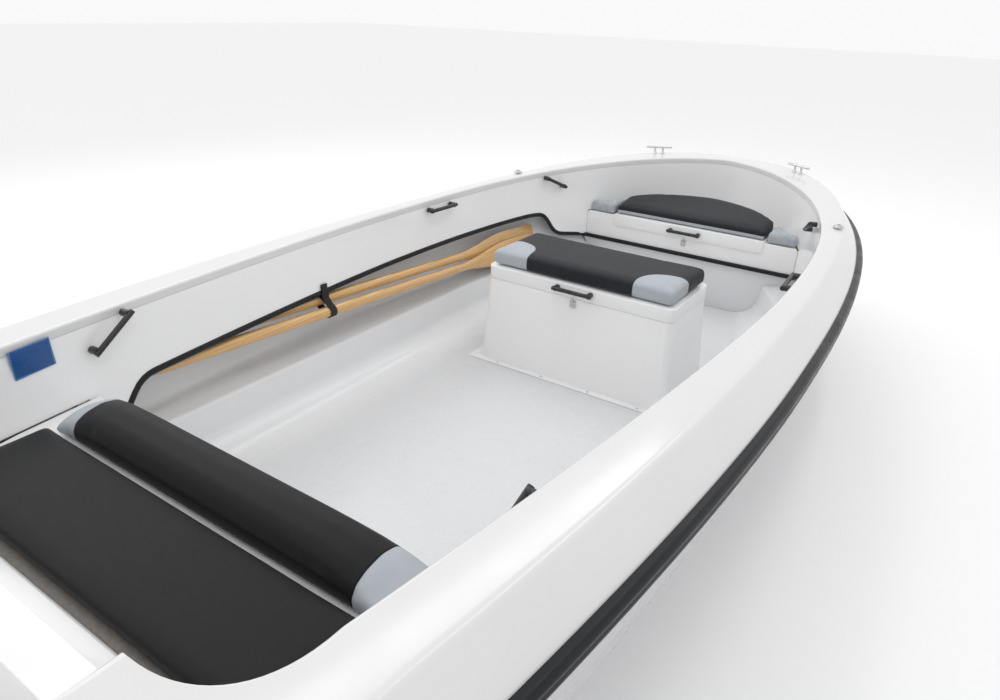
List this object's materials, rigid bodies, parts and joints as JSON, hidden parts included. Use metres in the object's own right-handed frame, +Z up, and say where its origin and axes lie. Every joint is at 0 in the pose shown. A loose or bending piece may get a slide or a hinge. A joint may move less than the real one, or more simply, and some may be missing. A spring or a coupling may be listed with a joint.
{
  "type": "rowing boat",
  "caption": "Open moulded rowing boat with cushioned bow and stern benches over lockers, a storage box seat, rub rail, grab handles and a pair of stowed oars.",
  "frame": {"origin": "below the middle of the boat's length and beam, level with the underside of the keel bands it stands on", "axes": "+X forward along the boat, +Y to port, +Z up"},
  "size_m": [4.981, 2.1218, 0.8727],
  "materials": {
    "hull_gelcoat": "glossy pale grey gelcoat",
    "deck_gelcoat": "glossy off-white gelcoat",
    "liner_gelcoat": "pale blue-grey gelcoat, speckled non-slip floor",
    "grey_board": "matt board",
    "dark_vinyl": "stitched marine vinyl",
    "light_vinyl": "stitched marine vinyl",
    "black_rubber": "satin",
    "black_plastic": "satin",
    "webbing": "woven webbing",
    "stainless": "polished stainless steel",
    "varnished_wood": "varnished",
    "plate_blue": "blank plate"
  },
  "bodies": {
    "boat": {"hull_shell": "hull_gelcoat", "keel_bands": "stainless", "stem_band": "stainless", "transom": "hull_gelcoat", "motor_pads": "grey_board", "motor_well": "deck_gelcoat", "gunwale_deck": "deck_gelcoat", "side_panel_port": "deck_gelcoat", "side_panel_starboard": "deck_gelcoat", "cockpit_tub": "liner_gelcoat", "bow_riser": "liner_gelcoat", "bow_bench": "deck_gelcoat", "bow_end_pads": "light_vinyl", "bow_latch": "stainless", "stern_bench": "deck_gelcoat", "stern_bolster": "dark_vinyl", "storage_box": "deck_gelcoat", "box_latch": "stainless", "hinges_fixed": "stainless", "rub_rail": "black_rubber", "edge_trim": "black_rubber", "grab_handles_port": "black_plastic", "grab_handles_starboard": "black_plastic", "bow_cleats": "stainless", "stern_cleats": "stainless", "rowlock_sockets": "stainless", "oar_upper": "varnished_wood", "oar_lower": "varnished_wood", "oar_strap": "webbing", "builder_plate": "plate_blue", "bow_eye": "stainless", "stern_eyes": "stainless", "drain_plug": "stainless"},
    "bow_hatch": {"bow_locker_lid": "deck_gelcoat", "bow_cushion": "dark_vinyl", "bow_lid_handle": "black_plastic", "bow_hinge_leaves": "stainless"},
    "box_hatch": {"box_lid": "deck_gelcoat", "box_cushion": "dark_vinyl", "box_handle": "black_plastic", "box_hinge_leaves": "stainless"},
    "stern_hatch": {"stern_locker_lid": "grey_board", "stern_cushion": "dark_vinyl", "stern_hinge_leaves": "stainless"}
  },
  "joints": [
    {"name": "bow_hatch_hinge", "type": "hinge", "parent": "boat", "child": "bow_hatch", "pos_m": [2.138, 0, 0.544], "axis": [0, 1, 0], "range_deg": [0, 30]},
    {"name": "box_lid_hinge", "type": "hinge", "parent": "boat", "child": "box_hatch", "pos_m": [0.766, 0, 0.5135], "axis": [0, 1, 0], "range_deg": [0, 100]},
    {"name": "stern_hatch_hinge", "type": "hinge", "parent": "boat", "child": "stern_hatch", "pos_m": [-1.831, 0, 0.544], "axis": [0, -1, 0], "range_deg": [0, 75]}
  ]
}
